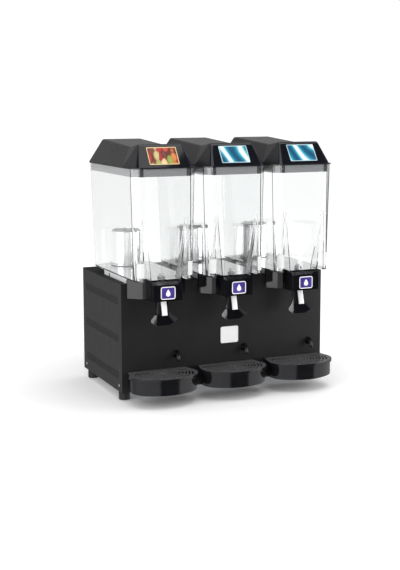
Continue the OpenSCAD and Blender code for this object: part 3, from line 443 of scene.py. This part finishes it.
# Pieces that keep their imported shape

KEPT = {"base_plate": SHEET_STEEL, "front_panel": FRONT_COAT, "left_side_panel": SIDE_COAT,
        "right_side_panel": SIDE_COAT, "rear_panel": SIDE_COAT, "top_deck": DECK_COAT,
        "compressor": ENAMEL, "condenser": FIN_ALUMINIUM, "fan_motor": MOTOR_PAINT,
        "fan_blade": SATIN_BLACK, "refrigerant_pipes": COPPER, "mixer_motors": MOTOR_PAINT}
for node, material in KEPT.items():
    dress(frame["nodes"][node], material)


# Mouldings of the cabinet, each with the width of its rounded edges

CABINET_MOULDINGS = {"feet": (RUBBER, 0.001), "panel_screws": (SCREW_STEEL, 0.0003),
                     "drain_spouts": (GLOSS_BLACK, 0.0004), "bowl_gaskets": (RUBBER, 0.0006),
                     "power_inlet": (SATIN_BLACK, 0.0005), "switch_housings": (SATIN_BLACK, 0.0005),
                     "cooling_switch": (SWITCH_GREEN, 0.0006),
                     "mixer_switch": (GLOSS_BLACK, 0.0006),
                     "thermostat_knob": (SATIN_BLACK, 0.0005)}
for node, (material, edge) in CABINET_MOULDINGS.items():
    softened(node, material, edge)


# Mouldings of the stations, each with the width and the segments of its rounded edges

STATION_MOULDINGS = {"bowl_clips": (CLIP_WHITE_PAINTED_SHADE, 0.0004, 2), "tap_cover": (GLOSS_BLACK, 0.0009, 3),
                     "tap_spout": (WHITE_PLASTIC, 0.0003, 2), "tap_lever": (GLOSS_BLACK, 0.0009, 3),
                     "valve_stem": (WHITE_PLASTIC, 0.0003, 2), "drip_tray": (TRAY_BLACK, 0.001, 3),
                     "drip_grid": (GRID_BLACK_PAINTED_SHEEN, 0.0004, 1), "evaporator": (STAINLESS, 0.0012, 2),
                     "impeller": (WHITE_PLASTIC, 0.0003, 2)}


def lid_moulding(station):
    """Lid with a deep gloss front, and a grey skirt that shows through the bowl's wall; the skirt's
    front is painted darker, with black corners, as painted shade.
    """
    front_depth, brow_gap, skirt_gap = 0.08, 0.004, 0.002
    lid = softened(station + "_lid", LID_BLACK, edge=0.0011, segments=3)
    low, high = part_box(station + "_bowl")
    rim, front_end = high[2], low[1] + front_depth

    def brow(c, n):
        return n.y < -0.4 and c.z > rim + brow_gap and c.y < front_end

    def skirt(c, n):
        return abs(n.z) < 0.3 and c.z < rim - skirt_gap

    repaint(lid, BROW_BLACK, brow)
    repaint(lid, RIM_GREY, skirt)
    # Painted shade: the front of the skirt gets the darker grey with black corners
    repaint(lid, SKIRT_FRONT_PAINTED_SHADE, lambda c, n: skirt(c, n) and c.y < front_end)


def bowl_moulding(station):
    """Clear bowl with a hazy floor, on frosted seat rails."""
    bowl = softened(station + "_bowl", CLEAR, edge=0.0002)
    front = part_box("front_panel")[0][1]
    seam, floor_top = BOWL_FLOOR - 0.0005, BOWL_FLOOR + 0.006
    repaint(bowl, FROSTED, lambda c, n: c.z < seam and c.y > front)
    repaint(bowl, HAZY, lambda c, n: abs(n.z) > FACING and seam < c.z < floor_top)


for station in STATIONS:
    bowl_moulding(station)
    for part, (material, edge, segments) in STATION_MOULDINGS.items():
        softened(station + "_" + part, material, edge, segments)
    dress(frame["nodes"][station + "_drive_magnet"], MOTOR_PAINT)
    lid_moulding(station)


# Plates and prints

def rear_marks():
    """White scale around the thermostat knob, and on and off marks at the switches."""
    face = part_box("rear_panel")[1][1]
    mark_depth = 0.0008
    tick_width, long_tick, short_tick, tick_gap = 0.0009, 0.0036, 0.0022, 0.004
    ticks, first_tick, tick_turn = 10, -135, 30
    on_width, on_length, off_radius, switch_gap = 0.0010, 0.0050, 0.0023, 0.0085
    bits = []

    def bar(x, z, width, length, turn=0.0):
        bpy.ops.object.select_all(action="DESELECT")
        bpy.ops.mesh.primitive_cube_add(size=1, location=(x, face, z), rotation=(0, turn, 0),
                                        scale=(width, mark_depth, length))
        bits.append(bpy.context.active_object)

    def ring(x, z, radius):
        bpy.ops.object.select_all(action="DESELECT")
        bpy.ops.mesh.primitive_torus_add(location=(x, face, z), rotation=(UPRIGHT, 0, 0),
                                         major_radius=radius, minor_radius=0.0005,
                                         major_segments=28, minor_segments=6)
        bits.append(bpy.context.active_object)

    low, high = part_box("thermostat_knob")
    middle, height = (low[0] + high[0]) / 2, (low[2] + high[2]) / 2
    reach = (high[0] - low[0]) / 2 + tick_gap
    for tick in range(ticks):
        turn = math.radians(first_tick + tick_turn * tick)
        bar(middle + reach * math.sin(turn), height + reach * math.cos(turn), tick_width,
            long_tick if tick % 3 == 0 else short_tick, turn)
    for node in ("cooling_switch", "mixer_switch"):
        low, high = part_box(node)
        middle = (low[0] + high[0]) / 2
        bar(middle, high[2] + switch_gap, on_width, on_length)
        ring(middle, low[2] - switch_gap, off_radius)
    bpy.ops.object.select_all(action="DESELECT")
    for bit in bits:
        bit.select_set(True)
    bpy.context.view_layer.objects.active = bits[0]
    bpy.ops.object.join()
    marks = bpy.context.active_object
    marks.name = "rear_marks"
    bpy.ops.object.transform_apply(location=True, rotation=True, scale=True)
    rounded(marks, 0.0002, segments=1, angle=60)
    dress(marks, WHITE_ENAMEL)
    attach(marks, "cabinet")


def lid_picture(station, edging, pattern):
    """Printed panel in the lid's sloped front, with round corners and a raised edging."""
    node = station + "_lid_panel"
    low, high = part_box(node)
    thickness = 0.0016
    panel = plaque(node + "_print", (0.0898, 0.0568), corner=0.003, rim=0.0022,
                   thickness=thickness, recess=0.0003)
    dress(panel, edging)
    repaint(panel, pattern, recessed(0.04, 0.025))
    turn = UPRIGHT - PANEL_LEAN
    outward = Vector((0, -math.sin(turn), math.cos(turn)))
    set_down(panel, (Vector(low) + Vector(high)) / 2 - outward * thickness / 2, turn)
    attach(panel, station + "_lid")
    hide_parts(node)


def cover_badge(station):
    """Plain enamel badge with a white rim and a drop on the front of a tap cover."""
    low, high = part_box(station + "_tap_cover")
    badge_height = 0.0235
    drop_offset = Vector((0, -0.0011, -0.003))
    badge = plaque(station + "_cover_badge", (0.044, 0.036), corner=0.006, rim=0.0022,
                   thickness=0.0016, recess=0.0004)
    dress(badge, WHITE_ENAMEL)
    repaint(badge, PURPLE_ENAMEL, recessed(0.019, 0.015))
    place = Vector(((low[0] + high[0]) / 2, low[1] + SUNK, low[2] + badge_height))
    set_down(badge, place, UPRIGHT)
    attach(badge, station + "_bowl")
    mark = drop(station + "_badge_drop", radius=0.0068, thickness=0.0005)
    dress(mark, WHITE_ENAMEL)
    set_down(mark, place + drop_offset, UPRIGHT)
    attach(mark, station + "_bowl")


def front_plate():
    """Plain white plate on the front panel."""
    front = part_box("front_panel")[0][1]
    across, height = 0.014, 0.1705
    plate = plaque("front_plate", (0.058, 0.050), corner=0.005, rim=0.0018,
                   thickness=0.0016, recess=0.0004)
    dress(plate, GREY_LINE)
    repaint(plate, WHITE_ENAMEL, lambda c, n: n.z > FACING)
    set_down(plate, (across, front + SUNK, height), UPRIGHT)
    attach(plate, "cabinet")


rear_marks()
lid_picture("left", GOLD_EDGE, PEBBLES)
lid_picture("middle", PALE_EDGE, WAVES)
lid_picture("right", PALE_EDGE, WAVES)
for station in STATIONS:
    cover_badge(station)
front_plate()


# Studio

def seen_rays(tree, *kinds):
    """One where a ray is of any of these kinds, else zero."""
    rays = tree.nodes.new("ShaderNodeLightPath")
    value = rays.outputs[kinds[0]]
    for kind in kinds[1:]:
        value = reckoned(tree, "MAXIMUM", value, rays.outputs[kind])
    return value


def studio_floor():
    """White floor that keeps the soft shadow, and grows to a full white further out."""
    glow_distance, glow_strength = (0.5, 1.8), (0.0, 0.28)
    bpy.ops.object.select_all(action="DESELECT")
    bpy.ops.mesh.primitive_plane_add(size=120, location=(0, 0, 0))
    floor = bpy.context.active_object
    floor.name = "studio_floor"
    material, tree, shader = finish_of("white floor", (0.93, 0.93, 0.93), 1.0, specular=0.0)
    tone = two_tones(tree, noise(tree, scale=2), (0.925, 0.925, 0.925), (0.935, 0.935, 0.935))
    tree.links.new(tone, shader.inputs["Base Color"])
    glow = tree.nodes.new("ShaderNodeEmission")
    glow.inputs["Color"].default_value = (1, 1, 1, 1)
    away = tree.nodes.new("ShaderNodeVectorMath")
    away.operation = "LENGTH"
    tree.links.new(own_place(tree), away.inputs[0])
    lift = spread(tree, away.outputs["Value"], glow_distance, glow_strength)
    shown = seen_rays(tree, "Is Camera Ray", "Is Glossy Ray", "Is Transmission Ray")
    tree.links.new(reckoned(tree, "MULTIPLY", shown, lift), glow.inputs["Strength"])
    both = tree.nodes.new("ShaderNodeAddShader")
    tree.links.new(shader.outputs["BSDF"], both.inputs[0])
    tree.links.new(glow.outputs["Emission"], both.inputs[1])
    tree.links.new(both.outputs["Shader"], tree.nodes["Material Output"].inputs["Surface"])
    dress(floor, material)
    floor.visible_glossy = False


def studio_world():
    """White for the camera and through the clear bowls, a grey dome for light, and for gloss a
    bright room with a dark screen to the right of the front, a dim back and a dark ceiling."""
    world = bpy.data.worlds.new("studio")
    bpy.context.scene.world = world
    world.use_nodes = True
    tree = world.node_tree
    tree.nodes.clear()

    def background(strength):
        node = tree.nodes.new("ShaderNodeBackground")
        set_inputs(node, {"Color": (1, 1, 1, 1), "Strength": strength})
        return node

    def mixed(factor, first, second):
        node = tree.nodes.new("ShaderNodeMixShader")
        tree.links.new(factor, node.inputs["Fac"])
        tree.links.new(first, node.inputs[1])
        tree.links.new(second, node.inputs[2])
        return node.outputs["Shader"]

    def greys(factor, stops):
        return shades(tree, factor, [(position, (grey, grey, grey)) for position, grey in stops])

    def at(degrees):
        """A bearing's place on the ramp: 0 is straight in front, and right is positive."""
        return 0.5 + degrees / 360

    place = tree.nodes.new("ShaderNodeTexCoord")
    split = tree.nodes.new("ShaderNodeSeparateXYZ")
    tree.links.new(place.outputs["Generated"], split.inputs["Vector"])
    forward = reckoned(tree, "MULTIPLY", split.outputs["Y"], -1)
    bearing = reckoned(tree, "ARCTAN2", split.outputs["X"], forward)
    room = greys(spread(tree, bearing, (-math.pi, math.pi), (0, 1)), [
        (0.0, 0.3), (at(-125), 0.4), (at(-90), 0.85), (at(-15), 0.75), (at(-9), 0.02),
        (at(37), 0.02), (at(44), 1.0), (at(100), 0.8), (at(130), 0.4), (1.0, 0.3)])
    height = greys(split.outputs["Z"], [(0.0, 1.0), (0.5, 0.9), (0.78, 0.12), (1.0, 0.1)])
    gloss = background(1.0)
    tree.links.new(multiplied(tree, room, height), gloss.inputs["Color"])
    dome = background(0.86)
    white = background(1.0)
    lit = mixed(seen_rays(tree, "Is Glossy Ray"),
                dome.outputs["Background"], gloss.outputs["Background"])
    shown = mixed(seen_rays(tree, "Is Camera Ray", "Is Transmission Ray"),
                  lit, white.outputs["Background"])
    out = tree.nodes.new("ShaderNodeOutputWorld")
    tree.links.new(shown, out.inputs["Surface"])


def softbox(name, location, target, size, watts):
    """A large soft lamp that looks at a point."""
    bpy.ops.object.select_all(action="DESELECT")
    bpy.ops.object.light_add(type="AREA", location=location)
    lamp = bpy.context.active_object
    lamp.name = name
    lamp.data.shape = "RECTANGLE"
    lamp.data.size, lamp.data.size_y = size
    lamp.data.energy = watts
    lamp.rotation_euler = (lamp.location - Vector(target)).to_track_quat("Z", "Y").to_euler()
    lamp.visible_camera = False


def photograph_camera():
    """Camera at the photograph's viewing angle: a little above, and left of the front."""
    downward, rightward = math.radians(7.79), math.radians(24.43)
    bpy.ops.object.select_all(action="DESELECT")
    bpy.ops.object.camera_add(location=(-1.38919, -3.05557, 0.87367),
                              rotation=(UPRIGHT - downward, 0, -rightward))
    camera = bpy.context.active_object
    camera.data.sensor_width = 36
    camera.data.lens = 69.98
    camera.data.shift_x = -0.0170
    camera.data.shift_y = -0.0621
    bpy.context.scene.camera = camera


studio_floor()
studio_world()
softbox("left_softbox", (-1.9, -1.1, 0.8), target=(0, 0, 0.8), size=(1.8, 1.8), watts=20)
softbox("right_softbox", (2.2, -1.0, 0.8), target=(0, 0, 0.8), size=(1.6, 1.8), watts=32)
softbox("top_softbox", (0.2, -0.2, 2.6), target=(0, 0, 0.3), size=(2.4, 1.8), watts=22)
photograph_camera()
bpy.context.scene.view_settings.view_transform = "Standard"
